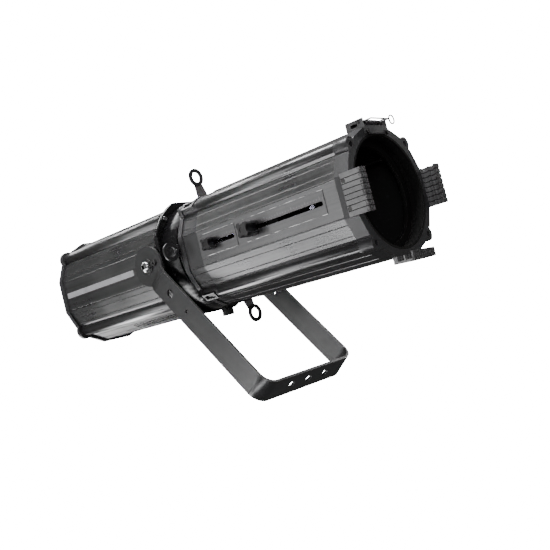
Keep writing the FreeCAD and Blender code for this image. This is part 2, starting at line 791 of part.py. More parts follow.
def build_shutter(side, plane, direction, reach, offset):
    """One framing shutter: its blade and strap, and the riveted finger ring on the end."""
    tip = f"{reach} - dims.blade_tip"
    shoulder = f"{reach} - dims.blade_shoulder"
    half = "dims.blade_half"
    outline = [
        (tip, f"{offset} - {half}"),
        (shoulder, f"{offset} - {half}"),
        (f"{shoulder} + 10", f"{offset} - dims.strap_half"),
        (f"{reach} - 26", f"{offset} - dims.strap_half"),
        (f"{reach} - dims.strap_end", f"{offset} - 8"),
        (f"{reach} - dims.strap_end", f"{offset} + 8"),
        (f"{reach} - 26", f"{offset} + dims.strap_half"),
        (f"{shoulder} + 10", f"{offset} + dims.strap_half"),
        (shoulder, f"{offset} + {half}"),
        (tip, f"{offset} + {half}"),
    ]
    blade = prism("YZ_Plane", outline, f"{plane}", f"{plane} + dims.blade_gauge")
    rivet_place = (f"{reach} - dims.rivet_inset", str(offset))
    rivet_hole = rod("x", "1.55", f"{plane} - 1", f"{plane} + 3", rivet_place)
    sheet_metal = cut(blade, rivet_hole)
    back = f"{plane} + dims.blade_gauge"
    face = f"{back} + dims.ring_gauge"
    ring = tube("x", "dims.ring_outer", "dims.ring_inner", back, face, (str(reach), str(offset)))
    shank = rod("x", "1.5", f"{plane} - 0.5", f"{face} + 0.5", rivet_place)
    head = rod("x", "2.2", face, f"{face} + 0.8", rivet_place)
    tail = rod("x", "2.2", f"{plane} - 0.8", f"{plane}", rivet_place)
    handle = fuse(ring, shank, head, tail)
    for name, item in ((f"shutter_blade_{side}", sheet_metal), (f"shutter_ring_{side}", handle)):
        item.Placement.Rotation = FreeCAD.Rotation(FreeCAD.Vector(1, 0, 0), direction)
        part(name, item)


# Barrel


def build_barrel():
    flange = lobed(0.5, "dims.collar_front", "dims.flange_front", groove=0)
    neck = lobed(-1.5, "dims.flange_front - 0.5", "dims.tube_rear")
    hollow = [
        rod("x", "60", "dims.collar_front - 1", "dims.collar_front + 3"),
        rod("x", "80", "dims.collar_front + 2", "dims.tube_rear - 5"),
        rod("x", "70", "dims.tube_rear - 6", "dims.tube_rear + 1"),
    ]
    seat = (("dims.flange_front", "dims.clip_front + 0.2"), ("dims.clip_seat", "110"), ("-12", "12"))
    seats = [turned(box(*seat), degrees) for degrees in DIAGONALS]
    rod_holes = guide_rods("dims.rod_radius + 0.02", "dims.tube_rear - 4", "dims.tube_rear + 1")
    part("barrel_neck", cut(fuse(flange, neck), *hollow, *seats, *rod_holes))
    clips = []
    for degrees in DIAGONALS:
        length = ("dims.clip_rear", "dims.clip_front")
        block = box(length, ("dims.clip_seat", "dims.clip_seat + 5"), ("-dims.clip_half", "dims.clip_half"))
        inside = ("dims.clip_rear + 2.8", "dims.clip_front - 2.8")
        pocket = box(inside, ("dims.clip_seat + 2", "dims.clip_seat + 6"), ("-4", "4"))
        head = rod("y", "2.6", "dims.clip_seat + 1.5", "dims.clip_seat + 3.6", ("99", "0"))
        clips.append(turned(fuse(cut(block, pocket), head), degrees))
    part("barrel_clips", group(*clips))
    shell = lobed(0, "dims.tube_rear", "dims.tube_front")
    bore = rod("x", "dims.tube_bore", "dims.tube_rear - 1", "dims.tube_front + 1")
    ports = diagonal_rods("dims.screw_hole", "dims.tube_front - 34", "dims.tube_front + 1")
    slots = []
    for label in ("zoom", "focus"):
        rear = f"dims.{label}_rear"
        front = f"dims.{label}_front"
        slots.append(slot_cutter(rear, front))
        face = ("-dims.panel_half - dims.trim_gauge", "-dims.panel_half")
        trim = box((f"{rear} - 12", f"{front} + 4"), face, ("dims.trim_low", "dims.trim_high"))
        part(f"{label}_slot_trim", cut(trim, slot_cutter(rear, front)))
    part("front_tube", cut(shell, bore, *ports, *slots))
    rods = guide_rods("dims.rod_radius", "dims.tube_rear - 4", "dims.tube_front - 1.5")
    part("lens_guide_rods", group(*rods))
    baffle = tube("x", "dims.carrier_radius", "70", "dims.tube_front - 6", "dims.tube_front - 0.5")
    holes = guide_rods("dims.rod_radius + 0.02", "dims.tube_front - 7", "dims.tube_front - 1.5")
    part("front_baffle", cut(baffle, *holes))


def guide_rods(radius, low, high):
    """The two rods that carry the lenses, on one diagonal."""
    return [rod("x", radius, low, high, on_circle("dims.rod_orbit", degrees)) for degrees in (45, 225)]


def slot_cutter(rear, front):
    """A round-ended slot through the -Y panel."""
    radius = "dims.slot_height / 2"
    height = (f"dims.slot_z - {radius}", f"dims.slot_z + {radius}")
    centres = (f"{rear} + {radius}", f"{front} - {radius}")
    ends = [rod("y", radius, "-92", "-75", (x, "dims.slot_z")) for x in centres]
    return fuse(box(centres, ("-92", "-75"), height), *ends)


def build_lens(label, station, bulge):
    """A carrier, its lens, and the fluted knob on its stud."""
    carrier = tube("x", "dims.carrier_radius", "dims.lens_radius - 3", f"{station} - 7", f"{station} + 7")
    seat = rod("x", "dims.lens_radius + 0.05", f"{station} - 2.5", f"{station} + 8")
    holes = guide_rods("dims.rod_radius + 0.05", f"{station} - 8", f"{station} + 8")
    stud_hole = rod("y", "dims.stud_radius + 0.05", "-84", "-70", (station, "dims.slot_z"))
    part(f"{label}_lens_carrier", cut(carrier, seat, stud_hole, *holes))
    curve = f"(pow(dims.lens_radius; 2) + pow({bulge}; 2)) / (2 * {bulge})"
    centre = f"{station} + 1.5"
    rear = ball(curve, f"{centre} + ({curve}) - {bulge} - 4")
    front = ball(curve, f"{centre} - ({curve}) + {bulge} + 4")
    disc = rod("x", "dims.lens_radius", f"{station} - 14", f"{station} + 18")
    step = (f"{station} - 15", f"{station} - 2.4")
    shoulder = tube("x", "dims.lens_radius + 1", "dims.lens_radius - 3.1", *step)
    part(f"{label}_lens", cut(common(common(rear, front), disc), shoulder))
    place = (station, "dims.slot_z")
    tip = f"dims.{label}_tip"
    grip = fluted("y", f"dims.{label}_grip", f"-{tip}", "-90.2", 4, 8.4, place)
    dish = rod("y", "4.5", f"-{tip} - 1", f"-{tip} + 0.8", place)
    stud = rod("y", "dims.stud_radius", "-91", "-72", place)
    part(f"{label}_knob", fuse(cut(grip, dish), stud))


def build_lock():
    """The thumb screw that locks the barrel's rotation."""
    grip = fluted("z", "9.5", "-104", "-91.2", 18, 1.0, ("dims.lock_x", "0"))
    shank = rod("z", "2.9", "-92", "-dims.bearing_radius + 1.2", ("dims.lock_x", "0"))
    part("barrel_lock_screw", fuse(grip, shank))


# Front ring and colour-frame holders


def build_front():
    ring = lobed(0, "dims.tube_front", "dims.ring_front", groove=0)
    mouth = rod("x", "dims.mouth_radius", "dims.tube_front - 1", "dims.ring_front + 1")
    throat = rod("x", "80", "dims.tube_front - 1", "dims.tube_front + 10")
    holes = diagonal_rods("dims.screw_hole", "dims.tube_front - 1", "dims.ring_front + 1")
    sinks = diagonal_rods("3.9", "dims.ring_front - 9", "dims.ring_front + 1")
    threads = []
    for degrees in HOLDER_SIDES.values():
        tap = "dims.small_tap"
        threads += [holder_screw(degrees, place, tap, tap) for place in HOLDER_SCREWS]
    for place in APRON_SCREWS:
        threads.append(rod("x", "dims.small_tap", "dims.ring_front - 12", "dims.ring_front + 1", place))
    part("front_ring", cut(ring, mouth, throat, *holes, *sinks, *threads))
    screws = []
    for degrees in DIAGONALS:
        place = on_circle("dims.ear_offset * sqrt(2)", degrees)
        head = rod("x", "3.6", "dims.ring_front - 8.8", "dims.ring_front - 5.5", place)
        shank = rod("x", "dims.screw_shank", "dims.ring_front - 50", "dims.ring_front - 8.5", place)
        screws.append(fuse(head, shank))
    part("front_ring_screws", group(*screws))
    small = []
    for side, degrees in HOLDER_SIDES.items():
        build_holder(f"frame_holder_{side}", degrees)
        for place in HOLDER_SCREWS:
            small.append(holder_screw(degrees, place, "dims.small_shank", "dims.small_head"))
    for place in APRON_SCREWS:
        shank = rod("x", "dims.small_shank", "dims.ring_front - 10", "dims.ring_front + 2.5", place)
        head = rod("x", "dims.small_head", "dims.ring_front + 2", "dims.ring_front + 4", place)
        small.append(fuse(shank, head))
    part("holder_screws", group(*small))


def holder_screw(degrees, place, shank, head):
    """A small screw through a holder's foot, drawn on +Y and turned into place."""
    x = "dims.ring_front - 3.5"
    bolt = rod("y", shank, "83", "dims.holder_outer - 1.5", (x, place))
    cap = rod("y", head, "dims.holder_outer - 2.5", "dims.holder_outer - 0.5", (x, place))
    return turned(fuse(bolt, cap), degrees)


def build_holder(label, degrees):
    """A ribbed channel with a foot on the ring, a middle rib and an inward front lip."""
    rear = "dims.holder_rear"
    front = "dims.holder_front"
    outer = "dims.holder_outer"
    lip = "dims.holder_lip"
    outline = [
        (rear, "dims.panel_half"),
        ("dims.ring_front", "dims.panel_half"),
        ("dims.ring_front", f"{outer} - 3"),
        ("413", f"{outer} - 3"),
        ("413", f"{lip} + 3"),
        ("415", f"{lip} + 3"),
        ("415", f"{outer} - 3"),
        (f"{front} - 3", f"{outer} - 3"),
        (f"{front} - 3", lip),
        (front, lip),
        (front, outer),
        (rear, outer),
    ]
    body = doc.addObject("PartDesign::Body", "channel")
    sketch = new_sketch(body, "XY_Plane")
    draw_polygon(sketch, outline)
    pad(body, sketch, "dims.holder_half * 2", midplane=True)
    grooves = []
    for index in range(-3, 4):
        across = (f"{7 * index} - 0.6", f"{7 * index} + 0.6")
        grooves.append(box((f"{rear} - 1", f"{front} + 1"), (f"{outer} - 0.8", f"{outer} + 1"), across))
        grooves.append(box((f"{front} - 0.8", f"{front} + 1"), (f"{lip} - 1", f"{outer} + 1"), across))
    sinks = []
    for place in HOLDER_SCREWS:
        x = "dims.ring_front - 3.5"
        sinks.append(rod("y", "dims.small_tap", "86", "dims.holder_outer + 1", (x, place)))
        sinks.append(rod("y", "3.1", "dims.holder_outer - 2.5", "dims.holder_outer + 1", (x, place)))
    holder = cut(body, *grooves, *sinks)
    holder.Placement.Rotation = FreeCAD.Rotation(FreeCAD.Vector(1, 0, 0), degrees)
    part(label, holder)


def build_latch():
    """The open-fronted bracket on top of the ring, with the latch's pin."""
    half = "dims.holder_half"
    front = "dims.ring_front"
    width = (f"-{half}", half)
    inside = (f"-{half} + 2", f"{half} - 2")
    block = box(("dims.latch_x - 21", f"{front} + 2"), width, ("dims.panel_half", "100.5"))
    apron = box((front, f"{front} + 2"), width, ("78.5", "92"))
    room = box(("dims.latch_x - 19", f"{front} + 3"), inside, ("90", "98.5"))
    open_top = box((f"{front} - 12", f"{front} + 3"), inside, ("92", "101"))
    window = box(("384", "395"), ("-30", "30"), ("91", "95.5"))
    pin_hole = rod("y", "1.85", "-30", "30", HINGE)
    holes = [rod("x", "dims.small_tap", f"{front} - 1", f"{front} + 3", place) for place in APRON_SCREWS]
    part("top_bracket", cut(fuse(block, apron), room, window, pin_hole, open_top, *holes))
    heads = [rod("y", "2.8", *sided(side, "28.1", "29.4"), HINGE) for side in SIDES]
    part("latch_pin", fuse(rod("y", "1.8", "-29", "29", HINGE), *heads))


def build_spring():
    """The coil round the latch's pin."""
    coil = doc.addObject("Part::Helix", "coil")
    bind(coil, Radius="3.2", Pitch="2.4", Height="28.8")
    coil.Placement.Rotation = AXIS_ROTATION["y"]
    move(coil, "dims.latch_x", "-14.4", "dims.latch_z")
    wire_end = doc.addObject("Part::Circle", "wire_end")
    bind(wire_end, Radius="0.7")
    move(wire_end, "dims.latch_x + 3.2", "-14.4", "dims.latch_z")
    spring = doc.addObject("Part::Sweep", "spring")
    spring.Sections = [wire_end]
    spring.Spine = (coil, [])
    spring.Solid = True
    spring.Frenet = True
    part("latch_spring", spring)


def build_wire_latch():
    """The wire that swings over the colour frame, with a finger loop."""
    wire = "1.1"
    reach = "dims.latch_x + 17"
    sleeves = [tube("y", "3.4", "1.85", *sided(side, "19", "24"), HINGE) for side in SIDES]
    bends = (("-21.5", "dims.latch_z"), ("21.5", "dims.latch_z"))
    legs = [rod("x", wire, "dims.latch_x + 2.4", reach, place) for place in bends]
    elbows = [ball(wire, reach, *place) for place in bends]
    bar = rod("y", wire, "-21.5", "21.5", (reach, "dims.latch_z"))
    loop = doc.addObject("Part::Torus", "loop")
    bind(loop, Radius1="6", Radius2=wire)
    loop.Placement.Rotation = AXIS_ROTATION["x"]
    move(loop, reach, "28.2", "dims.latch_z - 1")
    part("frame_latch", fuse(*sleeves, *legs, bar, *elbows, loop))


build_yoke()
build_housing()
build_cap()
build_sockets()
build_safety_loop()
build_engine()
build_pivots()
build_gate()
for side, plane, settings in zip(SHUTTER_SIDES, SHUTTER_PLANES, SHUTTER_SETTINGS):
    build_shutter(side, plane, *settings)
build_barrel()
build_lens("zoom", "dims.zoom_rear + dims.knob_inset", "7")
build_lens("focus", "dims.focus_rear + dims.knob_inset", "7")
build_lock()
build_front()
build_latch()
build_spring()
build_wire_latch()
doc.recompute()

failed = [item.Label for item in doc.Objects if "Invalid" in item.State or "Error" in item.State]
broken = [item.Label for item in parts if item.Shape.isNull() or not item.Shape.isValid()]
if failed or broken:
    raise SystemExit(f"failed objects: {failed}; broken parts: {broken}")
os.makedirs("parts", exist_ok=True)
for item in parts:
    item.Shape.exportStep(f"parts/{item.Label}.step")
print(f"{len(parts)} parts written")
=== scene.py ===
import json
import math

import bmesh
import bpy
from mathutils import Matrix, Vector


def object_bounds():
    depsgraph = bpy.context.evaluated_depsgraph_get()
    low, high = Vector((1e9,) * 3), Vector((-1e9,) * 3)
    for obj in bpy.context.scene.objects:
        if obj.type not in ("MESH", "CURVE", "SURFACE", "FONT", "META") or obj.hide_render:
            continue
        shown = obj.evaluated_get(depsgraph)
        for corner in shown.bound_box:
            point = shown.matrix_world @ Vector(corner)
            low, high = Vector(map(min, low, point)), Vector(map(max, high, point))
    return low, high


# Looks of the ellipsoidal spotlight. Lamp coordinates are metres from the tilt pivot, which lies on the
# optical axis: X runs along the beam, -Y is the side with the lens knobs, and Z is up.

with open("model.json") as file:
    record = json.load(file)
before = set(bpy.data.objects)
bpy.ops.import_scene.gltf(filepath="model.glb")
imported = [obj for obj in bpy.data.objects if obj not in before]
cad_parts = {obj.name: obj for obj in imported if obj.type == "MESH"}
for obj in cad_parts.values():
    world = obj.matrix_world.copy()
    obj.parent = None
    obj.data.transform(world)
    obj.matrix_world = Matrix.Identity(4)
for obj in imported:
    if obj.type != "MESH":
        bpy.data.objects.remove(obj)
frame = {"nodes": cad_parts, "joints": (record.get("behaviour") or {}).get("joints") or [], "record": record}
cad_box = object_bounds()
nodes = frame["nodes"]
PIVOT = Vector(next(joint["pos_m"] for joint in frame["joints"] if joint["name"] == "tilt"))

MM = 0.001

# radii inside which each hollow part is painted matt black
BORE_TUBE = 83.4 * MM
BORE_RING = 80.4 * MM
BORE_HOUSING = 84.9 * MM

# places on the parts where a finish changes
PHOSPHOR_RADIUS = 9.5 * MM
POLISHED_RADIUS = 60.5 * MM
SOCKET_HALF = 3.05 * MM
TRIM_TOP = 18.6 * MM
TRIM_BOTTOM = -13.2 * MM
TICK_PITCH = 5.0 * MM
TICK_FOOT = 7.5 * MM
TICK_SHORT = 9.5 * MM
TICK_LONG = 11.5 * MM
GROOVE_PITCH = 7.0 * MM
GROOVED_HALF = 22.5 * MM
LIP_REAR = 424.0 * MM

# colours that several finishes share
ANODISED = (0.15, 0.15, 0.153)
DIRT_WEAR_AND_HIGHLIGHT = (0.42, 0.42, 0.43)
SOOT = (0.004, 0.004, 0.004)
SOCKET_SHADE = (0.008, 0.008, 0.008)

ROUNDING = 0.35 * MM
WELD_REACH = 0.01 * MM
SHARP_ANGLE = 35
FLOOR_DROP = 0.45
FLOOR_RADIUS = 30.0

# strengths of the white sweep and floor that the camera sees, and of the room in the reflections
WHITE = 24.0
FLOOR_GLOW = 23.6
ROOM = 0.105

CAMERA_PLACE = (0.9673, -0.9136, -0.1239)
CAMERA_ANGLES = (41.226, -2.853, 14.19)
CAMERA_LENS = 52.31
CAMERA_SENSOR = 36.0


# Node helpers


class Nodes:
    """One material's node tree, with short calls for the nodes it is made of."""

    def __init__(self, name):
        self.material = bpy.data.materials.new(name)
        self.material.use_nodes = True
        self.tree = self.material.node_tree
        self.shader = self.tree.nodes["Principled BSDF"]
        coordinates = self.add("ShaderNodeTexCoord")
        self.place = coordinates.outputs["Object"]

    def add(self, kind, **settings):
        node = self.tree.nodes.new(kind)
        for key, value in settings.items():
            setattr(node, key, value)
        return node

    def feed(self, socket, value):
        """Link an output to a socket, or set the socket's own value."""
        if isinstance(value, bpy.types.NodeSocket):
            self.tree.links.new(value, socket)
        else:
            socket.default_value = value

    def fill(self, node, **values):
        """Set or link a node's sockets, their names written with underscores."""
        for key, value in values.items():
            self.feed(node.inputs[key.replace("_", " ")], value)

    def set(self, **values):
        """Set or link the shader's sockets."""
        self.fill(self.shader, **values)

    def math(self, operation, first, second=0.0):
        node = self.add("ShaderNodeMath", operation=operation)
        self.feed(node.inputs[0], first)
        self.feed(node.inputs[1], second)
        return node.outputs[0]

    def stretched(self, scale):
        """Object coordinates scaled per axis."""
        node = self.add("ShaderNodeMapping")
        self.fill(node, Vector=self.place, Scale=scale)
        return node.outputs["Vector"]

    def noise(self, scale, detail=3.0):
        """Clouded noise, its scale in features per metre."""
        node = self.add("ShaderNodeTexNoise")
        self.fill(node, Vector=self.place, Scale=scale, Detail=detail, Roughness=0.55)
        return node.outputs["Fac"]

    def streaks(self, scale, detail):
        """Noise stretched by its own scale along each axis."""
        node = self.add("ShaderNodeTexNoise")
        self.fill(node, Vector=self.stretched(scale), Scale=1.0, Detail=detail, Roughness=0.55)
        return node.outputs["Fac"]

    def cells(self, scale, feature="F1"):
        """Distance from the middle of each of many small cells."""
        node = self.add("ShaderNodeTexVoronoi", feature=feature)
        self.fill(node, Vector=self.place, Scale=scale)
        return node.outputs["Distance"]

    def bricks(self, scale, mortar_size, shift, colours):
        """Rows of bricks in two colours, with mortar between them in the third."""
        node = self.add("ShaderNodeTexBrick", offset=shift)
        self.fill(node, Vector=self.place, Scale=scale, Mortar_Size=mortar_size)
        for key, colour in zip(("Color1", "Color2", "Mortar"), colours):
            node.inputs[key].default_value = (*colour, 1)
        return node.outputs

    def ramp(self, value, low, high, to_low=0.0, to_high=1.0):
        """Spread low to high over to_low to to_high, held at both ends."""
        node = self.add("ShaderNodeMapRange")
        self.feed(node.inputs["Value"], value)
        for key, number in zip(("From Min", "From Max", "To Min", "To Max"), (low, high, to_low, to_high)):
            node.inputs[key].default_value = number
        return node.outputs["Result"]

    def mix(self, factor, first, second):
        """A colour between two, each a socket or a tuple of three."""
        node = self.add("ShaderNodeMix", data_type="RGBA")
        colours = [c for c in node.inputs if c.type == "RGBA"]
        self.feed(node.inputs[0], factor)
        for socket, value in zip(colours, (first, second)):
            self.feed(socket, (*value, 1.0) if isinstance(value, tuple) else value)
        return next(c for c in node.outputs if c.type == "RGBA")

    def bump(self, height, strength, distance, under=None):
        """A normal shaped by height, on top of another bump when one is given."""
        node = self.add("ShaderNodeBump")
        self.fill(node, Strength=strength, Distance=distance, Height=height)
        if under is not None:
            self.feed(node.inputs["Normal"], under)
        return node.outputs["Normal"]

    def axes(self):
        """The X, Y and Z of a point in lamp coordinates."""
        shift = self.add("ShaderNodeVectorMath", operation="SUBTRACT")
        self.feed(shift.inputs[0], self.place)
        shift.inputs[1].default_value = PIVOT
        split = self.add("ShaderNodeSeparateXYZ")
        self.feed(split.inputs[0], shift.outputs[0])
        return split.outputs["X"], split.outputs["Y"], split.outputs["Z"]

    def inside(self, radius):
        """1 where a point lies nearer the optical axis than radius, and 0 outside."""
        _, y, z = self.axes()
        square = self.math("ADD", self.math("MULTIPLY", y, y), self.math("MULTIPLY", z, z))
        return self.math("LESS_THAN", square, radius**2)

    def cover(self, mask, tint, black_and_shade, finish, black_and_shade_finish, metallic):
        """Lay a plain dark colour over the shader's tint and finish wherever the mask is 1: matt black in a
        bore, painted shade in a socket.
        """
        self.set(Base_Color=self.mix(mask, tint, black_and_shade))
        self.set(Metallic=self.ramp(mask, 0.0, 1.0, metallic, 0.0))
        self.set(Roughness=self.mix(mask, finish, (black_and_shade_finish,) * 3))

    def edges(self, width):
        """1 along sharp edges within width, and 0 on flat faces."""
        rounded = self.add("ShaderNodeBevel", samples=4)
        rounded.inputs["Radius"].default_value = width
        geometry = self.add("ShaderNodeNewGeometry")
        dot = self.add("ShaderNodeVectorMath", operation="DOT_PRODUCT")
        self.feed(dot.inputs[0], rounded.outputs["Normal"])
        self.feed(dot.inputs[1], geometry.outputs["Normal"])
        return self.ramp(dot.outputs["Value"], 0.98, 0.80)


def shade(colour, factor):
    return tuple(min(1.0, channel * factor) for channel in colour)


# Materials


def anodised_tint(n, colour, streaks):
    """The clouded, lengthwise-streaked colour of the extrusions, and the streaks themselves."""
    cloud = n.noise(7.0, 4.0)
    tint = n.mix(n.ramp(cloud, 0.35, 0.65), shade(colour, 0.86), shade(colour, 1.14))
    drawn = n.streaks((2.0, 260.0, 260.0), 3.0)
    return n.mix(n.ramp(drawn, 0.40, 0.70, 0.0, streaks), tint, shade(colour, 1.6)), drawn


def metal_coat(name, colour, metallic, rough, edge, bore=None, streaks=0.0, grain=0.12):
    """Painted, powder-coated or anodised metal, with edges lightened partly by wear and partly as a painted
    highlight, and a matt black bore.
    """
    n = Nodes(name)
    tint, drawn = anodised_tint(n, colour, streaks)
    specks = n.ramp(n.noise(900.0, 2.0), 0.66, 0.74)
    tint = n.mix(n.math("MULTIPLY", specks, 0.18), tint, shade(colour, 1.9))
    # edges lighter partly from wear and partly as a painted highlight along them
    edge_wear_and_highlight = n.math("MULTIPLY", n.edges(0.7 * MM), n.ramp(n.noise(60.0, 4.0), 0.40, 0.62))
    tint = n.mix(n.math("MULTIPLY", edge_wear_and_highlight, edge), tint, DIRT_WEAR_AND_HIGHLIGHT)
    handled = n.ramp(n.noise(14.0, 2.0), 0.30, 0.70, rough - 0.03, rough + 0.06)
    brushed = n.math("ADD", handled, n.ramp(drawn, 0.35, 0.65, -0.02, 0.02))
    finish = n.math("ADD", brushed, n.ramp(edge_wear_and_highlight, 0.0, 1.0, 0.0, -0.06))
    n.set(Base_Color=tint, Roughness=finish, Metallic=metallic)
    if bore is not None:
        n.cover(n.inside(bore), tint, SOOT, finish, 0.9, metallic)
    peel = n.bump(n.noise(620.0, 3.0), grain, 0.15 * MM)
    n.set(Normal=n.bump(drawn, 0.02, 0.1 * MM, peel))
    return n.material


def extrusion(name, bore):
    """Drawn and anodised tube, matt black inside its bore."""
    return metal_coat(name, ANODISED, 0.85, 0.30, 0.9, bore, streaks=0.3, grain=0.02)


def bare_metal(name, colour, rough, socket=None):
    """Plated or bare metal with fine scratches, and painted shade in a square socket on the pivot axis."""
    n = Nodes(name)
    cloud = n.ramp(n.noise(30.0, 4.0), 0.35, 0.65)
    fine = n.streaks((90.0, 2600.0, 700.0), 5.0)
    across = n.streaks((2600.0, 300.0, 90.0), 5.0)
    marks = n.math("MAXIMUM", n.ramp(fine, 0.60, 0.70), n.ramp(across, 0.62, 0.72))
    tint = n.mix(cloud, shade(colour, 0.88), shade(colour, 1.05))
    tint = n.mix(n.math("MULTIPLY", marks, 0.25), tint, shade(colour, 0.55))
    finish = n.math("ADD", n.ramp(cloud, 0.0, 1.0, rough, rough + 0.1), n.ramp(marks, 0, 1, 0, 0.12))
    n.set(Base_Color=tint, Metallic=1.0, Roughness=finish)
    if socket is not None:
        x, _, z = n.axes()
        reach = n.math("MAXIMUM", n.math("ABSOLUTE", x), n.math("ABSOLUTE", z))
        # painted shade: the bolt heads' square sockets darkened
        n.cover(n.math("LESS_THAN", reach, socket), tint, SOCKET_SHADE, finish, 0.7, 1.0)
    n.set(Normal=n.bump(n.math("ADD", fine, across), 0.05, 0.05 * MM))
    return n.material


def moulded(name, colour, rough, grain=0.35, scale=1100.0):
    """Moulded plastic or fibre with a fine eroded texture and edges lighter partly by wear and partly as a
    painted highlight.
    """
    n = Nodes(name)
    cloud = n.ramp(n.noise(26.0, 3.0), 0.35, 0.65)
    tint = n.mix(cloud, shade(colour, 0.8), shade(colour, 1.2))
    # edges lighter partly from wear and partly as a painted highlight along them
    edge_wear_and_highlight = n.math("MULTIPLY", n.edges(0.6 * MM), n.ramp(n.noise(130.0, 3.0), 0.35, 0.60, 0.0, 0.5))
    tint = n.mix(edge_wear_and_highlight, tint, shade(colour, 3.2))
    pits = n.cells(scale)
    n.set(Base_Color=tint, Roughness=n.ramp(n.noise(55.0, 4.0), 0.3, 0.7, rough - 0.07, rough + 0.1))
    n.set(Normal=n.bump(n.math("ADD", pits, n.noise(scale * 1.7, 2.0)), grain, 0.08 * MM))
    return n.material


def reflector_bowl():
    """Bright dipped aluminium, rolled into small facets."""
    n = Nodes("mirror_bowl")
    facets = n.cells(130.0, "SMOOTH_F1")
    haze = n.noise(40.0, 4.0)
    n.set(Base_Color=n.mix(n.ramp(haze, 0.35, 0.65), (0.80, 0.80, 0.82), (0.90, 0.90, 0.91)))
    n.set(Metallic=1.0, Roughness=n.ramp(haze, 0.3, 0.7, 0.07, 0.16))
    n.set(Normal=n.bump(facets, 0.5, 0.6 * MM))
    return n.material


def circuit_board():
    """Green solder mask over copper tracks, with tinned pads."""
    n = Nodes("circuit_board")
    tracks = n.bricks(260.0, 0.08, 0.5, ((0.02, 0.11, 0.05), (0.03, 0.15, 0.06), (0.06, 0.24, 0.09)))
    pads = n.ramp(n.cells(420.0), 0.16, 0.12)
    n.set(Base_Color=n.mix(pads, tracks["Color"], (0.62, 0.62, 0.60)))
    n.set(Roughness=n.ramp(n.noise(90.0), 0.3, 0.7, 0.22, 0.42), Metallic=n.math("MULTIPLY", pads, 0.8))
    n.set(Normal=n.bump(tracks["Fac"], 0.25, 0.1 * MM))
    return n.material


def led_array():
    """A phosphor-coated array: yellow cells in a white dam, on a white board."""
    n = Nodes("led")
    cells = n.ramp(n.cells(620.0), 0.25, 0.55)
    yellow = n.mix(cells, (0.88, 0.72, 0.12), (0.93, 0.84, 0.34))
    board = n.mix(n.ramp(n.noise(160.0), 0.4, 0.6), (0.78, 0.78, 0.76), (0.86, 0.86, 0.84))
    n.set(Base_Color=n.mix(n.inside(PHOSPHOR_RADIUS), board, yellow))
    n.set(Roughness=n.ramp(n.noise(300.0), 0.3, 0.7, 0.35, 0.6), Normal=n.bump(cells, 0.3, 0.2 * MM))
    return n.material


def display_glass():
    """A dark window over a dim grey readout area with rows of segments."""
    n = Nodes("display")
    colours = ((0.018, 0.026, 0.036), (0.026, 0.038, 0.050), (0.008, 0.010, 0.014))
    rows = n.bricks(190.0, 0.12, 0.0, colours)
    smears = n.ramp(n.noise(70.0, 5.0), 0.45, 0.7, 0.05, 0.2)
    n.set(Base_Color=rows["Color"], Roughness=smears, Coat_Weight=0.8, Coat_Roughness=0.04)
    n.set(Normal=n.bump(n.noise(500.0), 0.02, 0.05 * MM))
    return n.material


def coated_glass():
    """Optical glass with a faint coating tint, a little dust and a ground rim."""
    n = Nodes("lens_glass")
    clear = n.inside(POLISHED_RADIUS)
    dust = n.ramp(n.noise(800.0), 0.68, 0.78, 0.0, 0.10)
    n.set(Base_Color=n.mix(clear, (0.30, 0.31, 0.32), (0.93, 0.96, 0.97)))
    n.set(Roughness=n.math("ADD", n.ramp(clear, 0, 1, 0.5, 0.01), dust), IOR=1.5, Transmission_Weight=1.0)
    n.set(Coat_Weight=0.25, Coat_Tint=(0.72, 0.66, 0.95, 1.0), Normal=n.bump(n.noise(12.0), 0.01, 0.1 * MM))
    return n.material


def reflective_stripe():
    """Pale adhesive strip with a fine weave and lifted, dirty edges."""
    n = Nodes("stripe")
    weave = n.cells(900.0)
    grime = n.ramp(n.noise(45.0, 5.0), 0.5, 0.72, 0.0, 0.5)
    tint = n.mix(weave, (0.60, 0.60, 0.63), (0.72, 0.72, 0.75))
    n.set(Base_Color=n.mix(grime, tint, DIRT_WEAR_AND_HIGHLIGHT), Metallic=0.15)
    n.set(Roughness=n.ramp(n.noise(70.0), 0.3, 0.7, 0.30, 0.48), Normal=n.bump(weave, 0.15, 0.05 * MM))
    return n.material


def shutter_steel():
    """Blued stainless sheet, rolled lengthwise and heat-stained."""
    n = Nodes("shutter_steel")
    grain = n.streaks((800.0, 30.0, 1100.0), 4.0)
    stain = n.ramp(n.noise(20.0, 3.0), 0.4, 0.62)
    tint = n.mix(grain, (0.20, 0.20, 0.21), (0.36, 0.36, 0.37))
    n.set(Base_Color=n.mix(n.math("MULTIPLY", stain, 0.4), tint, (0.22, 0.17, 0.13)), Metallic=0.9)
    n.set(Roughness=n.ramp(grain, 0.3, 0.7, 0.28, 0.45), Normal=n.bump(grain, 0.12, 0.05 * MM))
    return n.material


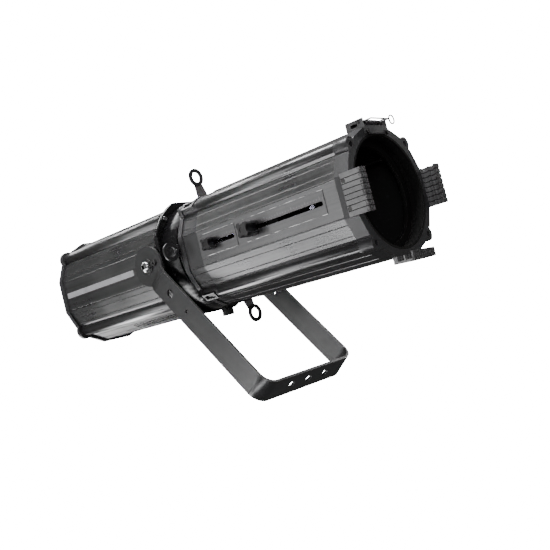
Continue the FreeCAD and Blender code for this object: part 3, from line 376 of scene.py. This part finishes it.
def slot_trim():
    """The tube's own finish, with broken painted highlight lines along the trim's long edges and pale tick
    marks.
    """
    n = Nodes("slot_trim")
    x, _, z = n.axes()
    tint, drawn = anodised_tint(n, ANODISED, 0.3)
    high = n.math("GREATER_THAN", z, TRIM_TOP)
    low = n.math("LESS_THAN", z, TRIM_BOTTOM)
    # painted highlight: broken bright lines along the trim's top and bottom edges
    broken_highlight = n.ramp(n.streaks((70.0, 8.0, 8.0), 2.0), 0.40, 0.55)
    lines = n.math("MULTIPLY", n.math("MAXIMUM", high, low), broken_highlight)
    stroke = n.math("LESS_THAN", n.math("FRACT", n.math("DIVIDE", x, TICK_PITCH)), 0.12)
    fifth = n.math("LESS_THAN", n.math("FRACT", n.math("DIVIDE", x, 5 * TICK_PITCH)), 0.2)
    end = n.ramp(fifth, 0.0, 1.0, TICK_SHORT, TICK_LONG)
    band = n.math("MULTIPLY", n.math("GREATER_THAN", z, TICK_FOOT), n.math("LESS_THAN", z, end))
    ticks = n.math("MULTIPLY", n.math("MULTIPLY", stroke, band), 0.35)
    # one pale grey for the painted highlight lines and for the printed ticks
    tint = n.mix(n.math("MAXIMUM", lines, ticks), tint, (0.62, 0.62, 0.62))
    n.set(Base_Color=tint, Metallic=0.85, Roughness=n.ramp(n.noise(14.0, 2.0), 0.30, 0.70, 0.29, 0.38))
    n.set(Normal=n.bump(drawn, 0.02, 0.1 * MM))
    return n.material


def grooved(name, across):
    """Grey cast holder metal with painted shade in its grooves, which step along Y (1) or Z (2)."""
    n = Nodes(name)
    axes = n.axes()
    place = axes[across]
    offset = n.math("ADD", n.math("DIVIDE", place, GROOVE_PITCH), 0.5)
    distance = n.math("ABSOLUTE", n.math("SUBTRACT", n.math("FRACT", offset), 0.5))
    within = n.math("LESS_THAN", n.math("ABSOLUTE", place), GROOVED_HALF)
    groove_shade = n.math("MULTIPLY", n.ramp(distance, 0.10, 0.07), within)
    lip = n.math("GREATER_THAN", axes[0], LIP_REAR)
    speckle = n.math("MULTIPLY", n.ramp(n.noise(420.0), 0.42, 0.56), lip)
    tint = n.mix(n.ramp(n.noise(30.0, 4.0), 0.35, 0.65), (0.22, 0.22, 0.225), (0.31, 0.31, 0.315))
    tint = n.mix(n.math("MULTIPLY", speckle, 0.8), tint, (0.03, 0.03, 0.03))
    # edges lighter partly from wear and partly as a painted highlight along them
    edge_wear_and_highlight = n.math("MULTIPLY", n.edges(0.6 * MM), 0.5)
    tint = n.mix(edge_wear_and_highlight, tint, (0.5, 0.5, 0.5))
    # painted shade: the grooves darkened almost to black
    tint = n.mix(n.math("MULTIPLY", groove_shade, 0.95), tint, (0.006, 0.006, 0.006))
    n.set(Base_Color=tint, Metallic=0.45)
    n.set(Roughness=n.ramp(n.noise(40.0, 4.0), 0.3, 0.7, 0.36, 0.50))
    n.set(Normal=n.bump(n.noise(500.0, 3.0), 0.25, 0.15 * MM))
    return n.material


FINISHES = {
    "black_steel": metal_coat("black_steel", (0.09, 0.09, 0.092), 0.5, 0.34, 1.0, grain=0.3),
    "black_anodised": extrusion("black_anodised", BORE_TUBE),
    "cast_grey": metal_coat("cast_grey", (0.085, 0.085, 0.088), 0.5, 0.42, 0.5, BORE_RING, grain=0.3),
    "black_screws": bare_metal("black_screws", (0.09, 0.09, 0.09), 0.35),
    "stripe": reflective_stripe(),
    "black_cast": metal_coat("black_cast", (0.014, 0.014, 0.015), 0.4, 0.26, 0.4, grain=0.2),
    "fibre": moulded("fibre", (0.14, 0.10, 0.075), 0.75, 0.6, 700.0),
    "bright_steel": bare_metal("bright_steel", (0.74, 0.74, 0.75), 0.14),
    "bare_aluminium": bare_metal("bare_aluminium", (0.70, 0.71, 0.73), 0.32),
    "led": led_array(),
    "mirror_bowl": reflector_bowl(),
    "black_plastic": moulded("black_plastic", (0.022, 0.022, 0.023), 0.45),
    "circuit_board": circuit_board(),
    "display": display_glass(),
    "blackened_steel": bare_metal("blackened_steel", (0.05, 0.05, 0.052), 0.40),
    "matt_black": metal_coat("matt_black", (0.010, 0.010, 0.010), 0.2, 0.62, 0.1),
    "ribbed_grey": metal_coat("ribbed_grey", (0.15, 0.15, 0.153), 0.5, 0.44, 0.6, grain=0.35),
    "knob_plastic": moulded("knob_plastic", (0.016, 0.016, 0.017), 0.36),
    "lens_glass": coated_glass(),
    "shutter_steel": shutter_steel(),
    "ring_grip": metal_coat("ring_grip", (0.06, 0.06, 0.062), 0.6, 0.30, 0.6),
}
SLOT_OF = {row["node"]: row["material_slot"] for row in frame["record"]["subparts"]}

# nodes whose finish differs from their slot's plain one
SPECIAL = {
    "rear_housing": extrusion("housing_anodised", BORE_HOUSING),
    "zoom_slot_trim": slot_trim(),
    "frame_holder_left": grooved("grooved_side", 2),
    "frame_holder_bottom": grooved("grooved_bottom", 1),
    "latch_spring": bare_metal("spring_wire", (0.16, 0.16, 0.165), 0.30),
    "frame_latch": bare_metal("latch_wire", (0.22, 0.22, 0.225), 0.32),
    "pivot_bolts": bare_metal("bolt_steel", (0.62, 0.62, 0.63), 0.20, SOCKET_HALF),
    # clip edges lightened at full strength: partly wear, mostly painted highlight
    "barrel_clips": metal_coat("clip_metal", (0.10, 0.10, 0.102), 0.6, 0.34, 1.0, grain=0.2),
    "lens_guide_rods": FINISHES["blackened_steel"],
    "holder_screws": FINISHES["black_screws"],
    "tilt_lock_screws": FINISHES["black_screws"],
    "latch_pin": FINISHES["black_screws"],
}
SPECIAL["focus_slot_trim"] = SPECIAL["zoom_slot_trim"]
SPECIAL["frame_holder_right"] = SPECIAL["frame_holder_left"]

# slots whose sharp edges stay as they are
SHARP = ("lens_glass", "stripe", "display", "circuit_board", "led", "fibre")


def soften(node):
    """Round a CAD node's sharp edges a little, so that they catch the light."""
    weld = node.modifiers.new("weld", "WELD")
    weld.merge_threshold = WELD_REACH
    bevel = node.modifiers.new("round", "BEVEL")
    bevel.width = ROUNDING
    bevel.segments = 2
    bevel.limit_method = "ANGLE"
    bevel.angle_limit = math.radians(SHARP_ANGLE)
    bevel.harden_normals = True


for name, node in nodes.items():
    slot = SLOT_OF[name]
    node.data.materials.clear()
    node.data.materials.append(SPECIAL.get(name, FINISHES[slot]))
    if slot not in SHARP:
        soften(node)


# Floor, light and camera


def smooth_floor():
    """A wide pale disc below the hanging lamp."""
    mesh = bpy.data.meshes.new("floor")
    shape = bmesh.new()
    bmesh.ops.create_circle(shape, cap_ends=True, segments=96, radius=FLOOR_RADIUS)
    shape.to_mesh(mesh)
    floor = bpy.data.objects.new("floor", mesh)
    floor.location = (0, 0, cad_box[0].z - FLOOR_DROP)
    bpy.context.scene.collection.objects.link(floor)
    n = Nodes("floor")
    n.set(Base_Color=n.mix(n.noise(2.0), (0.90, 0.90, 0.90), (0.93, 0.93, 0.93)), Roughness=0.9)
    n.set(Emission_Color=(1, 1, 1, 1), Emission_Strength=FLOOR_GLOW)
    mesh.materials.append(n.material)
    floor.visible_glossy = False
    floor.visible_diffuse = False


def softbox(name, place, target, size, power):
    """An area light at a lamp-frame place, facing a lamp-frame target."""
    data = bpy.data.lights.new(name, "AREA")
    data.shape = "RECTANGLE"
    data.size, data.size_y = size
    data.energy = power
    light = bpy.data.objects.new(name, data)
    light.location = PIVOT + Vector(place)
    aim = Vector(target) - Vector(place)
    light.rotation_euler = aim.to_track_quat("-Z", "Y").to_euler()
    bpy.context.scene.collection.objects.link(light)


# each light's name, place and target in lamp coordinates, its width and height, and its watts
LIGHTS = (
    ("overhead", (0.10, -0.20, 1.7), (0.1, 0, 0), (1.5, 0.30), 56),
    ("high_back", (-1.30, 0.25, 1.30), (0.1, 0, 0), (1.2, 0.16), 12),
    ("near_side", (-0.80, -1.7, 0.10), (0.25, 0, 0), (0.9, 0.9), 6),
    ("front", (1.7, -1.6, 0.5), (0.35, 0, 0), (0.5, 0.9), 9),
    ("low", (0.1, -1.2, -1.0), (0.1, 0, 0), (1.6, 0.30), 14),
    ("low_back", (-1.30, -0.30, -1.10), (0.1, 0, 0), (1.5, 0.42), 27),
    ("arm_fill", (-0.70, -1.10, -0.45), (0.18, -0.1, -0.22), (0.35, 0.30), 2.5),
    ("far_side", (0.2, 1.9, 0.7), (0.1, 0, 0), (1.4, 0.5), 14),
    ("rear", (-1.9, 0.5, 0.6), (0, 0, 0), (0.7, 0.7), 9),
)


def studio():
    """A white sweep seen by the camera, and a dimmer room in the reflections."""
    world = bpy.data.worlds.new("studio")
    world.use_nodes = True
    tree = world.node_tree
    path = tree.nodes.new("ShaderNodeLightPath")
    strength = tree.nodes.new("ShaderNodeMapRange")
    strength.inputs["To Min"].default_value = ROOM
    strength.inputs["To Max"].default_value = WHITE
    tree.links.new(path.outputs["Is Camera Ray"], strength.inputs["Value"])
    background = tree.nodes["Background"]
    background.inputs["Color"].default_value = (1, 1, 1, 1)
    tree.links.new(strength.outputs["Result"], background.inputs["Strength"])
    bpy.context.scene.world = world
    for name, place, target, size, power in LIGHTS:
        softbox(name, place, target, size, power)


def photo_camera():
    """The camera, turned round the lamp by azimuth and elevation and rolled clockwise."""
    azimuth, elevation, roll = (math.radians(angle) for angle in CAMERA_ANGLES)
    flat = math.cos(elevation)
    back = Vector((math.sin(azimuth) * flat, -math.cos(azimuth) * flat, math.sin(elevation)))
    level = Vector((0, 0, 1)).cross(back).normalized()
    rise = back.cross(level)
    right = level * math.cos(roll) - rise * math.sin(roll)
    up = rise * math.cos(roll) + level * math.sin(roll)
    data = bpy.data.cameras.new("camera")
    data.sensor_width = CAMERA_SENSOR
    data.lens = CAMERA_LENS
    camera = bpy.data.objects.new("camera", data)
    place = PIVOT + Vector(CAMERA_PLACE)
    turn = Matrix((right, up, back)).transposed()
    camera.matrix_world = Matrix.Translation(place) @ turn.to_4x4()
    bpy.context.scene.collection.objects.link(camera)
    bpy.context.scene.camera = camera


smooth_floor()
studio()
photo_camera()
